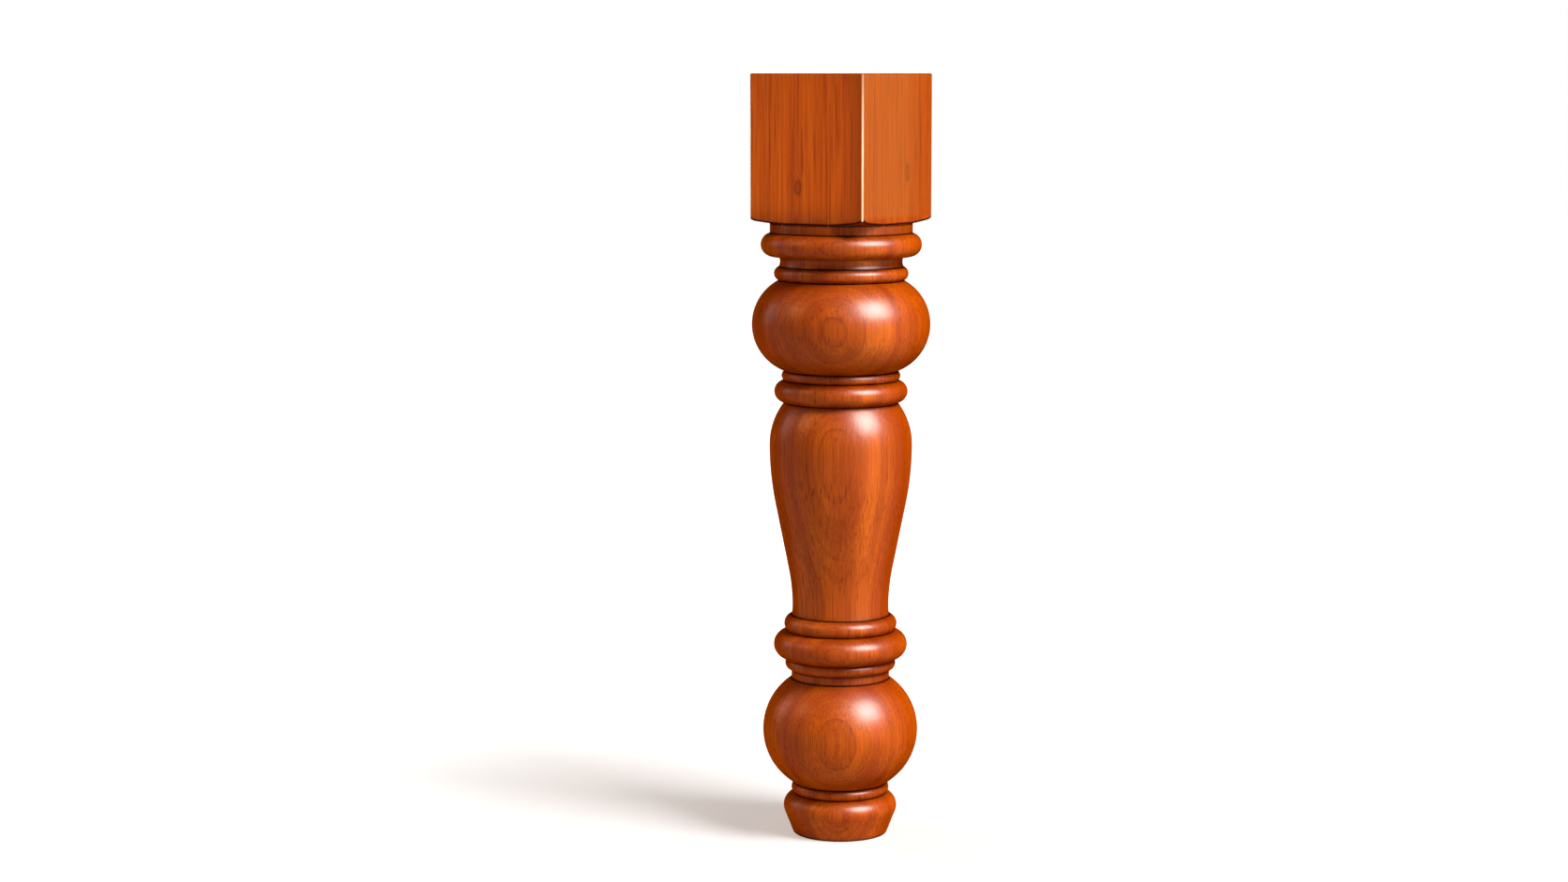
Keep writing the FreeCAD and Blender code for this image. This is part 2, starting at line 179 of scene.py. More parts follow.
# %% [markdown]
# The block is what the lathe never touched: a square with its four arrises
# eased by a plane, and a small chamfer round the top. Under it the turner left
# a shoulder, a shallow cone that rolls out to the four corners. All of these
# are measured on the CAD points, and so are the two mortises, the slots of the
# joints.

# %% Measure the block and its shoulder
CLEAR_OF_SHOULDER = 20
SHOULDER_RISE = 9
SAME_HEIGHT = 0.01

neck_radius, neck_height = outline[-1]
leg_height = cad_height.max()
of_block = cad_height > neck_height + CLEAR_OF_SHOULDER
half = np.abs(cad_x[of_block]).max()
corner_reach = cad_radius[of_block].max()
arris = (half * math.sqrt(2) - corner_reach) / (math.sqrt(2) - 1)
of_top = cad_height > leg_height - SAME_HEIGHT
chamfer = half - np.abs(cad_x[of_top]).max()
print("half side %.2f, arris %.2f, chamfer %.2f mm" % (half, arris, chamfer))

under = (cad_height > neck_height + SAME_HEIGHT) & (cad_height < neck_height + SHOULDER_RISE)
shoulder = np.unique(np.column_stack([cad_radius[under], cad_height[under]]), axis=0)
shoulder = np.vstack([[neck_radius, neck_height], shoulder])
print("shoulder: %d points, up to %.2f mm at the corners" % (len(shoulder), shoulder[-1, 1]))

# %% Measure the mortises
inside = of_block & (np.maximum(np.abs(cad_x), np.abs(cad_y)) < half - 2 * chamfer)
inside &= cad_height < leg_height - 2 * chamfer
front_mortise = cad_points[inside & (cad_y < 0)]
side_mortise = cad_points[inside & (cad_y > 0)]
mortise_low = front_mortise[:, 2].min()
mortise_high = front_mortise[:, 2].max()
print("mortises from %.1f to %.1f mm" % (mortise_low, mortise_high))

# %% [markdown]
# The leg is built as one sheet of rows and columns, like the staves of a
# barrel: a row is one height of the outline, a column is one direction from
# the axis. Blender's Screw modifier would sweep the outline too, but only into
# rounds. Most columns here are evenly spread, and a few more stand where the
# block needs them: round each eased arris, where the block's side crosses the
# neck, and at the sides of the mortises.

# %% Choose the columns
EVEN_COLUMNS = 168
ARRIS_COLUMNS = 9
CLOSE = math.radians(0.35)
QUARTER = math.pi / 2


def aim(x, y):
    """Direction of a point seen from the axis, from 0 to a full turn."""
    return math.atan2(y, x) % math.tau


front_mouth = [aim(-half, y) for y in (front_mortise[:, 1].max(), front_mortise[:, 1].min())]
side_mouth = [aim(x, half) for x in (side_mortise[:, 0].max(), side_mortise[:, 0].min())]
arris_middle = half - arris
eased = [aim(arris_middle + arris * math.cos(turn), arris_middle + arris * math.sin(turn))
         for turn in np.linspace(0, QUARTER, ARRIS_COLUMNS)]
eased = [eased[0] - CLOSE, *eased, eased[-1] + CLOSE]
crossing = math.acos(half / neck_radius)
one_quarter = [*eased, crossing, QUARTER - crossing]
fixed = [(angle + corner * QUARTER) % math.tau for corner in range(4) for angle in one_quarter]
fixed = np.array([*fixed, *front_mouth, *side_mouth])
even = np.arange(EVEN_COLUMNS) * math.tau / EVEN_COLUMNS
spare = np.abs((even[:, None] - fixed + math.pi) % math.tau - math.pi).min(axis=1)
angles = np.sort(np.append(fixed, even[spare > CLOSE]))
print("columns:", len(angles))

# %% [markdown]
# Each row is a ring of points, one for each column. A turned row has one
# radius all round. The rows of the shoulder spread from the round neck to the
# square block and climb the cone as they go, and the rows of the block follow
# its eased square. A turned solid and a box could be joined with a Boolean
# instead, but one sheet keeps its faces four-sided and its shading clean.

# %% Find the reach of the block


def block_reach(directions, side, rounding):
    """How far the block's outline stands from the axis in each direction."""
    folded = np.abs((directions + math.pi / 4) % QUARTER - math.pi / 4)
    flat = side / np.cos(folded)
    centre = (side - rounding) * math.sqrt(2)
    off = math.pi / 4 - folded
    gap = np.maximum(rounding**2 - (centre * np.sin(off)) ** 2, 0)
    round_reach = centre * np.cos(off) + np.sqrt(gap)
    tangent = math.atan2(side - rounding, side)
    return np.where(folded > tangent, round_reach, flat)


block_edge = block_reach(angles, half, arris)
top_edge = block_reach(angles, half - chamfer, arris - chamfer)
print("block reaches %.2f to %.2f mm from the axis" % (block_edge.min(), block_edge.max()))

# %% Lay out the rows
SHOULDER_SHARES = (0.3, 0.6, 0.8, 0.9, 0.96, 1.0)
EDGE_RISES = (0.9, 2.2)


def ring(radius, height):
    """One row of points: a radius and a height for each column, or one for all."""
    heights = np.broadcast_to(height, angles.shape)
    return np.column_stack([radius * np.cos(angles), radius * np.sin(angles), heights])


sheet = [ring(radius, height) for radius, height in rows]
for share in SHOULDER_SHARES:
    reach = neck_radius + share * (block_edge - neck_radius)
    lift = np.interp(np.maximum(reach, neck_radius), shoulder[:, 0], shoulder[:, 1])
    sheet.append(ring(reach, lift))
for rise in EDGE_RISES:
    sheet.append(ring(block_edge, lift + rise))
mortise_row = len(sheet)
for height in (mortise_low, mortise_high, leg_height - chamfer):
    sheet.append(ring(block_edge, height))
sheet.append(ring(top_edge, leg_height))
sheet = np.array(sheet)
row_count, column_count = sheet.shape[:2]
print("sheet:", row_count, "rows by", column_count, "columns")

# %% [markdown]
# Faces join each row to the next, except where a mortise has its mouth. The
# foot and the top are closed by a fan of triangles round a middle point. These
# and the insides of the mortises go into a list of their own, because there
# the timber stays bare.

# %% Join the rows into faces and close the ends
SAME_ANGLE = 1e-6

index = np.arange(row_count * column_count).reshape(row_count, column_count)
corners = [tuple(point) for point in sheet.reshape(-1, 3)]
faces = []
bare_faces = []


def columns_of(mouth):
    """Columns from one side of a mortise's mouth to the other."""
    return np.flatnonzero((angles > min(mouth) - SAME_ANGLE) & (angles < max(mouth) + SAME_ANGLE))


mouths = [columns_of(front_mouth), columns_of(side_mouth)]
open_columns = {column for mouth in mouths for column in mouth[:-1]}
for i in range(row_count - 1):
    for j in range(column_count):
        if i == mortise_row and j in open_columns:
            continue
        k = (j + 1) % column_count
        faces.append((index[i, j], index[i, k], index[i + 1, k], index[i + 1, j]))
foot_middle = len(corners)
top_middle = foot_middle + 1
corners += [(0, 0, 0), (0, 0, leg_height)]
for j in range(column_count):
    k = (j + 1) % column_count
    bare_faces.append((foot_middle, index[0, k], index[0, j]))
    bare_faces.append((top_middle, index[-1, j], index[-1, k]))
print("faces:", len(faces), "finished,", len(bare_faces), "bare so far")

# %% [markdown]
# A mortise is chopped straight in from its mouth to a flat bottom. A Boolean
# would cut it as well, but the mouth's corners are already columns and rows of
# the sheet, so the bottom and the four walls only have to be joined to them.

# %% Sink the mortises
for mouth, mortise in zip(mouths, (front_mortise, side_mortise)):
    depth_axis = 0 if mortise is front_mortise else 1
    bottom_rows = []
    for row in (mortise_row, mortise_row + 1):
        bottom = sheet[row, mouth].copy()
        bottom[:, depth_axis] = mortise[0, depth_axis]
        bottom_rows.append(range(len(corners), len(corners) + len(mouth)))
        corners += [tuple(point) for point in bottom]
    low, high = bottom_rows
    rim_low = index[mortise_row, mouth]
    rim_high = index[mortise_row + 1, mouth]
    for k in range(len(mouth) - 1):
        bare_faces.append((rim_low[k], rim_low[k + 1], low[k + 1], low[k]))
        bare_faces.append((low[k], low[k + 1], high[k + 1], high[k]))
        bare_faces.append((high[k], high[k + 1], rim_high[k + 1], rim_high[k]))
    for k in (0, -1):
        bare_faces.append((rim_low[k], low[k], high[k], rim_high[k]))
print("bare faces:", len(bare_faces))

# %% [markdown]
# Stain runs into a valley and stays there, so every quirk on a stained leg has
# a dark line in it and a soft dark edge beside it. Both are painted shade too,
# darker than stain alone, as shade falls in a crease. The neck under the block
# is a wide valley, painted dark all over, and the shoulder with it: painted
# shade under the block. A dark line along the block's lower edge is painted
# shade as well. Blender's Pointiness could look for valleys, but it changes
# with the density of the mesh. The outline knows them exactly, so the marks are
# worked out here, row by row, and kept on the points for the finish to read.

# %% Mark the valleys, and the painted shade under the block
POOL_AND_SHADE_REACH = 3.4
PAINTED_SHADE_ON_NECK = 0.8

row_steps = np.append(0, np.cumsum(np.linalg.norm(np.diff(rows, axis=0), axis=1)))
to_quirk = np.abs(row_steps[:, None] - row_steps[row_is_quirk]).min(axis=1)
shoulder_row = len(rows)
edge_row = shoulder_row + len(SHOULDER_SHARES)
above = np.zeros(row_count - shoulder_row)
line_by_row = np.append(np.maximum(1 - to_quirk / LINE_REACH, 0), above)
pool_shade_by_row = np.append(np.exp(-to_quirk / POOL_AND_SHADE_REACH), above)
# Painted shade under the block: the neck and shoulder rows are darkened.
neck_row = np.flatnonzero(row_is_quirk)[-2]
neck_shade = pool_shade_by_row[neck_row:shoulder_row]
pool_shade_by_row[neck_row:shoulder_row] = np.maximum(neck_shade, PAINTED_SHADE_ON_NECK)
pool_shade_by_row[shoulder_row:edge_row] = 1.0
# A dark line along the block's lower edge, a convex edge: painted shade.
line_by_row[edge_row - 1:edge_row + 1] = 1.0

loose = np.zeros(len(corners) - row_count * column_count)
line_mark = np.append(np.repeat(line_by_row, column_count), loose)
pool_shade_mark = np.append(np.repeat(pool_shade_by_row, column_count), loose)
print("dark lines on", int((line_by_row > 0).sum()), "rows")

# %% [markdown]
# The points and faces become a mesh as they are, with from_pydata. The marks
# go with them as attributes, which a material reads by name. Then the mesh is
# looked over as a joiner looks over a glue-up: points that fall together are
# welded, slivers are dissolved, all faces are turned outwards, and the open
# edges are counted.

# %% Make the leg's mesh
WELD = 1e-6
SLIVER = 1e-7
CRISP_EDGE = math.radians(30)

leg_mesh = bpy.data.meshes.new("turned_leg_finished")
leg_mesh.from_pydata([tuple(MM * np.array(p)) for p in corners], [], faces + bare_faces)
for name, values in (("quirk_line", line_mark), ("settled", pool_shade_mark)):
    mark = leg_mesh.attributes.new(name, "FLOAT", "POINT")
    mark.data.foreach_set("value", values)
bare_mark = leg_mesh.attributes.new("bare", "FLOAT", "FACE")
bare_mark.data.foreach_set("value", [0.0] * len(faces) + [1.0] * len(bare_faces))

work = bmesh.new()
work.from_mesh(leg_mesh)
bmesh.ops.remove_doubles(work, verts=work.verts, dist=WELD)
bmesh.ops.dissolve_degenerate(work, edges=work.edges, dist=SLIVER)
bmesh.ops.recalc_face_normals(work, faces=work.faces)
open_edges = sum(not edge.is_manifold for edge in work.edges)
work.to_mesh(leg_mesh)
print("leg: %.3f litres, open edges: %d" % (1000 * work.calc_volume(), open_edges))
work.free()
leg_mesh.shade_smooth()
leg_mesh.set_sharp_from_angle(angle=CRISP_EDGE)

# %% [markdown]
# The finished leg takes the place of the plain CAD leg. It rides on the only
# body there is.

# %% Put the leg in the scene
leg = bpy.data.objects.new("turned_leg_finished", leg_mesh)
bpy.context.scene.collection.objects.link(leg)
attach(leg, "root")
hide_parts("turned_leg")
print("leg triangles:", sum(len(face.vertices) - 2 for face in leg_mesh.polygons))

# %% [markdown]
# A finish is a web of nodes, and most of its nodes are arithmetic. Linking
# them one by one would hide the idea in the plumbing. Two small classes keep
# it readable: a Wire is one socket that can be added to and multiplied like a
# number, and a Finish is the tree that the nodes go into, with a few mixes and
# noises that come up again and again.

# %% A socket that sums like a number


class Wire:
    """One output socket. A sum with it adds a Math node, or a Vector Math node
    where a vector or a colour takes part."""

    def __init__(self, finish, socket):
        self.finish = finish
        self.socket = socket

    def is_vector(self):
        return self.socket.type in ("VECTOR", "RGBA")

    def math(self, operation, *others, swap=False):
        values = [self, *others]
        if swap:
            values.reverse()
        vector = any(isinstance(v, Wire) and v.is_vector() for v in values)
        if vector:
            values = [(v, v, v) if isinstance(v, (int, float)) else v for v in values]
        kind = "ShaderNodeVectorMath" if vector else "ShaderNodeMath"
        return self.finish.node(kind, {"operation": operation}, dict(enumerate(values)))

    def length(self):
        return self.finish.node("ShaderNodeVectorMath", {"operation": "LENGTH"}, {0: self}, "Value")

    def part(self, axis):
        return self.finish.node("ShaderNodeSeparateXYZ", {}, {0: self}, axis)

    def __add__(self, other):
        return self.math("ADD", other)

    def __sub__(self, other):
        return self.math("SUBTRACT", other)

    def __rsub__(self, other):
        return self.math("SUBTRACT", other, swap=True)

    def __mul__(self, other):
        return self.math("MULTIPLY", other)

    def __truediv__(self, other):
        return self.math("DIVIDE", other)

    def __pow__(self, other):
        return self.math("POWER", other)

    __radd__ = __add__
    __rmul__ = __mul__


print("a Wire can be added, subtracted, multiplied, divided and raised to a power")

# %% A tree that nodes go into


class Finish:
    """A tree of nodes: a material's, or the world's."""

    def __init__(self, owner):
        owner.use_nodes = True
        self.tree = owner.node_tree
        self.tree.nodes.clear()

    def node(self, kind, settings=None, sockets=None, out=0):
        """Adds a node: its type, its settings, the values or wires of its sockets,
        and which output is wanted."""
        made = self.tree.nodes.new(kind)
        for name, value in (settings or {}).items():
            if name == "stops":
                self.set_stops(made.color_ramp, value)
            else:
                setattr(made, name, value)
        for name, value in (sockets or {}).items():
            if isinstance(value, Wire):
                self.tree.links.new(value.socket, made.inputs[name])
            else:
                made.inputs[name].default_value = value
        return Wire(self, made.outputs[out]) if made.outputs else None

    def set_stops(self, ramp, stops):
        """Sets a ramp's stops: pairs of a place and a grey level."""
        while len(ramp.elements) < len(stops):
            ramp.elements.new(1.0)
        for element, (place, level) in zip(ramp.elements, stops):
            element.position = place
            element.color = (level, level, level, 1.0)

    def blend(self, share, first, second):
        """Two colours mixed: the first where share is 0, the second where it is 1."""
        sockets = {0: share, 6: first, 7: second}
        return self.node("ShaderNodeMix", {"data_type": "RGBA"}, sockets, 2)

    def coats(self, colour, *layers):
        """A colour under thin coats, laid on in turn: each is a share and a colour."""
        for share, coat in layers:
            colour = self.blend(share, colour, coat)
        return colour

    def ease(self, value, low, high):
        """A soft step: 0 where the value is at low, 1 where it is at high.
        Low may be the larger of the two."""
        sockets = {"Value": value, "From Min": low, "From Max": high}
        return self.node("ShaderNodeMapRange", {"interpolation_type": "SMOOTHSTEP"}, sockets)

    def cloud(self, where, size, detail=2.0, shift=None, out=0):
        """Soft noise from 0 to 1, its blobs about this many millimetres along x, y and z.
        A shift takes it from elsewhere, so that two clouds don't match."""
        where = where + shift if shift else where
        sockets = {"Vector": where * tuple(1 / s for s in size), "Scale": 1.0, "Detail": detail}
        return self.node("ShaderNodeTexNoise", {}, sockets, out)

    def bands(self, along, detail=1.0):
        """Soft noise from 0 to 1 in bands, each about one unit of this wire wide."""
        sockets = {"W": along, "Scale": 1.0, "Detail": detail}
        return self.node("ShaderNodeTexNoise", {"noise_dimensions": "1D"}, sockets)

    def mark(self, name):
        """A mark that was kept on the mesh."""
        return self.node("ShaderNodeAttribute", {"attribute_name": name}, out="Fac")


print("a Finish can lay", ", ".join(name for name in vars(Finish) if "_" not in name))

# %% [markdown]
# Shaders work with light, where twice the number is twice the light. Colours on
# a screen are written on another scale, closer to what the eye feels. Colours
# are easier to judge as written, so one small function turns them into light.

# %% Colours as they are written


def paint(red, green, blue):
    """A colour as it is written on a screen, 0 to 255, for a shader socket."""
    levels = [c / 255 for c in (red, green, blue)]
    return (*[c / 12.92 if c <= 0.04045 else ((c + 0.055) / 1.055) ** 2.4 for c in levels], 1.0)


print("a mid red-brown is", [round(c, 3) for c in paint(176, 72, 16)])

# %% [markdown]
# The timber is worked out as a solid, not as a skin. A tree grows in rings
# round its pith, and this leg was sawn from the side of a large trunk, so the
# pith lies outside it, in front. Wherever the turner cut through a ring the
# surface shows a line: straight lines on the block's faces, long arches down
# the vase and targets on the balls. One solid gives all of these without any
# drawing. A trunk leans and sways a little, so the distance from its pith is
# measured on a place that soft noise has moved.

# %% Measure from the pith
PITH_AHEAD = 142.0
PITH_AZIMUTH = math.radians(30)
TRUNK_LEAN = (math.radians(0.7), math.radians(-0.5), 0.0)
TRUNK_SWAY = 7.0
RING_RIPPLE = 1.7
NO_HEIGHT = (1.0, 1.0, 0.0)

wood = bpy.data.materials.new("stained_wood")
leg_mesh.materials.append(wood)
timber = Finish(wood)
place = timber.node("ShaderNodeTexCoord", out="Object") * (1 / MM)
height_of = place.part("Z")
pith = (PITH_AHEAD * math.sin(PITH_AZIMUTH), -PITH_AHEAD * math.cos(PITH_AZIMUTH), 0.0)
trunk = timber.node("ShaderNodeMapping", {"vector_type": "TEXTURE"},
                    {"Vector": place, "Location": pith, "Rotation": TRUNK_LEAN})
sway = timber.cloud(place, (75, 75, 260), 1.0, out=1) - 0.5
ripple = timber.cloud(place, (14, 14, 46), 2.0, out=1) - 0.5
from_pith_line = (trunk + sway * TRUNK_SWAY + ripple * RING_RIPPLE) * NO_HEIGHT
from_pith = from_pith_line.length()
print("pith %.0f mm from the axis" % PITH_AHEAD)

# %% [markdown]
# A pin knot is the root of a thin twig that the trunk grew over. Two of them
# come out on the block, one on its front and one on its right side. A knot
# could be a dark spot laid on the colour, but the rings of real timber swerve
# round it. So each knot is a soft swelling that the count of the years takes
# in below, with a dark rim round its eye.

# %% Pin knots
PIN_KNOTS = [
    {"middle": (-8.5, -63.5, 630.0), "wide": 4.4, "tall": 8.5},
    {"middle": (63.5, 15.5, 644.0), "wide": 3.2, "tall": 10.0},
]
KNOT_RIPPLE = 3.0
KNOT_REACH = 2.4
EYE_RADIUS = 0.7
RIM_SOFT, RIM_FULL = 0.34, 0.08

swellings = []
rims = []
for knot in PIN_KNOTS:
    narrow, short = 1 / knot["wide"], 1 / knot["tall"]
    from_eye = ((place + ripple * KNOT_RIPPLE - knot["middle"]) * (narrow, narrow, short)).length()
    swellings.append(timber.ease(from_eye, KNOT_REACH, 0.0))
    rims.append(timber.ease((from_eye - EYE_RADIUS).math("ABSOLUTE"), RIM_SOFT, RIM_FULL))
knots = sum(swellings)
eyes = sum(rims)
print("pin knots:", len(PIN_KNOTS))

# %% [markdown]
# Each year adds pale early wood and then a thin dark line of late wood. The
# years are counted outwards from the pith, and what is left after the whole
# years is the season. A wave texture has rings too, but all of one width and
# darkness. Here the width wanders, each year has a darkness of its own, groups
# of years make broad zones, and a line fades out now and then.

# %% Growth rings
RING_WIDTH = 4.2
WANDER, WANDER_WIDTH = 2.0, 14.0
KNOT_SWERVE = 2.0
ZONE_WIDTH, ZONE_START = 9.0, 4.0
FAINT_YEAR, YEAR_RANGE = 0.2, 0.55
FADED_LINE = 0.35
SEASONS = [(0.0, 0.35), (0.07, 0.0), (0.66, 0.0), (0.86, 0.35), (0.94, 1.0), (1.0, 0.35)]

years = timber.bands(from_pith / WANDER_WIDTH)
age = from_pith / RING_WIDTH + years * WANDER + knots * KNOT_SWERVE
late_wood = timber.node("ShaderNodeValToRGB", {"stops": SEASONS}, {"Fac": age.math("FRACT")})
year_mark = timber.node("ShaderNodeTexWhiteNoise", {"noise_dimensions": "1D"},
                        {"W": age.math("FLOOR")})
zones = timber.bands(from_pith / ZONE_WIDTH + ZONE_START)
fading = timber.ease(timber.cloud(place, (17, 17, 60), 2.0, (11.0, 23.0, 5.0)), 0.36, 0.62)
year_strength = FAINT_YEAR + year_mark * YEAR_RANGE
ring_line = late_wood * year_strength * (FADED_LINE + fading * (1 - FADED_LINE))
print("rings %.1f mm wide" % RING_WIDTH)

# %% [markdown]
# Between the rings the timber is never one colour. Broad bands of darker and
# lighter heartwood run up the leg, fine fibres streak it from end to end, and
# thousands of short pores fleck it. All of these are long along the grain and
# thin across it, so each is soft noise stretched along the leg. Dark veins
# show on the flat sides of the block and hardly at all on the turning.

# %% Fibres, pores and veins
heart = timber.cloud(place, (38, 38, 210), 2.0, (310.0, 20.0, 77.0))
fibre = timber.cloud(place, (2.2, 2.2, 120), 3.0)
hair = timber.cloud(place, (0.8, 0.8, 80), 2.0, (5.0, 9.0, 1.0))
pores = timber.ease(timber.cloud(place, (0.5, 0.5, 14), 1.0, (3.0, 1.0, 7.0)), 0.62, 0.74)
streaks = timber.ease(timber.cloud(place, (1.5, 1.5, 130), 2.0, (2.0, 6.0, 9.0)), 0.57, 0.67)
vein_cloud = timber.cloud(place, (1.7, 1.7, 70), 1.0, (40.0, 13.0, 3.0))
square_part = timber.ease(height_of, neck_height + 4, neck_height + 10)
veins = timber.ease(vein_cloud, 0.6, 0.69) * (0.1 + square_part * 0.9)
print("nodes so far:", len(timber.tree.nodes))

# %% [markdown]
# A finisher builds up colour in thin coats, and so does this: the heartwood
# first, then each kind of line and fleck over it, as much of it as its share
# says. Towards the foot the colour is lifted a little: painted light.

# %% Mix the tones of the timber
DARK_HEART, LIGHT_HEART = paint(174, 66, 3), paint(209, 94, 6)
FIBRE_BROWN, HAIR_GOLD = paint(146, 51, 4), paint(214, 106, 26)
STREAK_BROWN, LATE_BROWN = paint(104, 33, 3), paint(108, 35, 3)
YEAR_BROWN, ZONE_BROWN = paint(150, 51, 3), paint(138, 46, 3)
VEIN_BROWN, KNOT_BROWN = paint(92, 28, 3), paint(84, 25, 2)
PORE_BROWN = paint(92, 30, 4)
BLOCK_HEART, BLOCK_EVENNESS = 0.4, 0.65
FOOT_LIGHT_RANGE, FOOT_PAINTED_LIGHT = (310, 60), 0.12

heart_share = timber.ease(heart, 0.3, 0.72)
heart_share = heart_share + (BLOCK_HEART - heart_share) * square_part * BLOCK_EVENNESS
zoned = timber.ease(zones, 0.42, 0.66) * (0.26 - square_part * 0.16)
tone = timber.coats(
    timber.blend(heart_share, DARK_HEART, LIGHT_HEART),
    (timber.ease(fibre, 0.35, 0.7) * 0.42, FIBRE_BROWN),
    (timber.ease(hair, 0.5, 0.75) * 0.2, HAIR_GOLD),
    (streaks * 0.55, STREAK_BROWN),
    (ring_line, LATE_BROWN),
    (year_mark * 0.2, YEAR_BROWN),
    (zoned, ZONE_BROWN),
    (veins * 0.46, VEIN_BROWN),
    (eyes * 0.46, KNOT_BROWN),
    (knots ** 3 * 0.4, KNOT_BROWN),
)
# Painted light: the colour is lighter towards the foot.
tone = tone * (1 + timber.ease(height_of, *FOOT_LIGHT_RANGE) * FOOT_PAINTED_LIGHT)
tone = timber.blend(pores * 0.2, tone, PORE_BROWN)
print("timber tones in", len(timber.tree.nodes), "nodes")

# %% [markdown]
# The block was sawn so that its left and right sides cut the rings nearly
# square on. Those sides are painted a shade darker, painted shade, and turn
# golden towards the front arris, a painted sheen. The sides are told apart by
# the way they face.

# %% Painted shade and sheen on the block's sides
SIDE_PAINTED_SHADE = 0.86
PAINTED_SHEEN_GOLD, PAINTED_SHEEN_SHARE = paint(200, 122, 58), 0.24

outwards = timber.node("ShaderNodeNewGeometry", out="Normal")
shaded_block_sides = timber.ease(outwards.part("X").math("ABSOLUTE"), 0.5, 0.95) * square_part
sheen_near_front = timber.ease(place.part("Y"), 66, 0)
# Painted shade on the block's sides, and a painted golden sheen towards the front arris.
tone = timber.coats(
    tone,
    (shaded_block_sides, tone * SIDE_PAINTED_SHADE),
    (shaded_block_sides * sheen_near_front * PAINTED_SHEEN_SHARE, PAINTED_SHEEN_GOLD),
)
print("nodes so far:", len(timber.tree.nodes))

# %% [markdown]
# Stain is wiped on and wiped off. Where the turning cut across the fibres the
# end grain drinks more of it, and in the quirks the cloth leaves it behind.
# Painted shade is laid over that: the faces that look down are darker, and the
# quirks, the neck and the shoulder are darker than stain alone makes them. The
# foot is painted dark along its bottom edge, as shade where it meets the floor.
# Use rubs it off again: the arrises of the block wear pale, and their pale line
# is a painted highlight as well, fainter near the top. The marks on the mesh,
# the way the surface faces and its distance from the axis say where each of
# these goes.

# %% Stain, wear, painted shade and a painted highlight
SOAK_AND_SHADE_BROWN, POOLED_STAIN_AND_SHADE_BROWN = paint(84, 26, 6), paint(90, 28, 3)
QUIRK_SHADE_BLACK, CONTACT_SHADE_BROWN = paint(24, 8, 3), paint(38, 16, 8)
RUBBED_PALE_AND_HIGHLIGHT = paint(250, 214, 172)
FAINTER_FROM_TOP = 60
CONTACT_SHADE_TOP, CONTACT_SHADE_FULL = 3.2, 0.6

quirk_line = timber.mark("quirk_line")
settled = timber.mark("settled")
facing_up = outwards.part("Z")
end_grain = timber.ease(facing_up.math("ABSOLUTE"), 0.45, 1.0)
underside_shade = timber.ease(facing_up, -0.3, -1.0)
smears = timber.cloud(place, (30, 30, 60), 3.0, (80.0, 40.0, 10.0))
from_axis = (place * NO_HEIGHT).length()
# The pale arris line is wear and a painted highlight, fainter near the top.
arris_wear_and_highlight = timber.ease(from_axis + smears * 0.16, corner_reach - 0.2, corner_reach + 0.05)
wear_and_highlight_level = timber.ease(height_of, leg_height, leg_height - FAINTER_FROM_TOP) * 0.6 + 0.35
stained = timber.coats(
    tone,
    # End grain soaks more stain; faces that look down are painted darker as shade.
    (end_grain * 0.26 + underside_shade * 0.1, SOAK_AND_SHADE_BROWN),
    # Pooled stain and painted shade, beside the quirks and under the block.
    (settled * 0.5, POOLED_STAIN_AND_SHADE_BROWN),
    # Stain in the quirks and painted shade: a near-black line, also along the block's lower edge.
    (quirk_line ** 0.7 * 0.96, QUIRK_SHADE_BLACK),
    # Painted contact shade along the bottom of the foot.
    (timber.ease(height_of, CONTACT_SHADE_TOP, CONTACT_SHADE_FULL) * 0.85, CONTACT_SHADE_BROWN),
    (arris_wear_and_highlight * wear_and_highlight_level, RUBBED_PALE_AND_HIGHLIGHT),
)
print("nodes so far:", len(timber.tree.nodes))

# %% [markdown]
# Inside the mortises the timber was never stained: it is pale and dull. The
# top is bare too, but it is end grain. The saw left its kerf marks across the
# rings, fine rays run out from the pith, and some stain ran over the edges. A
# second material could do this, but one material that reads the mark of the
# bare faces keeps the rings running through from the sides to the top.

# %% Bare wood in the mortises
RAW_PALE, RAW_BROWN = paint(196, 140, 98), paint(112, 66, 38)

bare = timber.mark("bare")
raw = timber.blend(ring_line * 0.9 + fibre * 0.3, RAW_PALE, RAW_BROWN)
bare_count = sum(item.value > 0.5 for item in leg_mesh.attributes["bare"].data)
print("bare faces on the finished mesh:", bare_count)

# %% End grain on the top
END_TAN, END_RING = paint(168, 106, 66), paint(104, 56, 30)
END_ZONE, RAY_PALE = paint(122, 70, 42), paint(196, 136, 90)
KERF_BROWN, SMEAR_BROWN = paint(118, 68, 40), paint(132, 80, 50)
OVERRUN_RED = paint(120, 46, 12)
RAYS_ROUND_PITH = 260.0

on_top = timber.ease(height_of, leg_height - 1.5, leg_height - 0.5)
kerf = timber.cloud(place, (120, 1.3, 40), 2.0, (9.0, 2.0, 0.0))
round_pith = from_pith_line.part("X").math("ARCTAN2", from_pith_line.part("Y"))
rays = timber.bands(round_pith * RAYS_ROUND_PITH)
sawn = timber.coats(
    timber.blend(late_wood * (0.35 + year_mark * 0.4), END_TAN, END_RING),
    (timber.ease(zones, 0.4, 0.66) * 0.35, END_ZONE),
    (timber.ease(rays, 0.5, 0.75) * 0.3, RAY_PALE),
    (timber.ease(kerf, 0.45, 0.7) * 0.3, KERF_BROWN),
    (smears * 0.5, SMEAR_BROWN),
)
to_side = place.math("ABSOLUTE")
to_edge = to_side.part("X").math("MAXIMUM", to_side.part("Y")) + hair * 5.0 + smears * 6.0
overrun = timber.ease(to_edge, half - 1.0, half + 4.5) * on_top
raw = timber.coats(raw, (on_top, sawn), (overrun * 0.85, OVERRUN_RED))
surface_colour = timber.blend(bare, stained, raw)
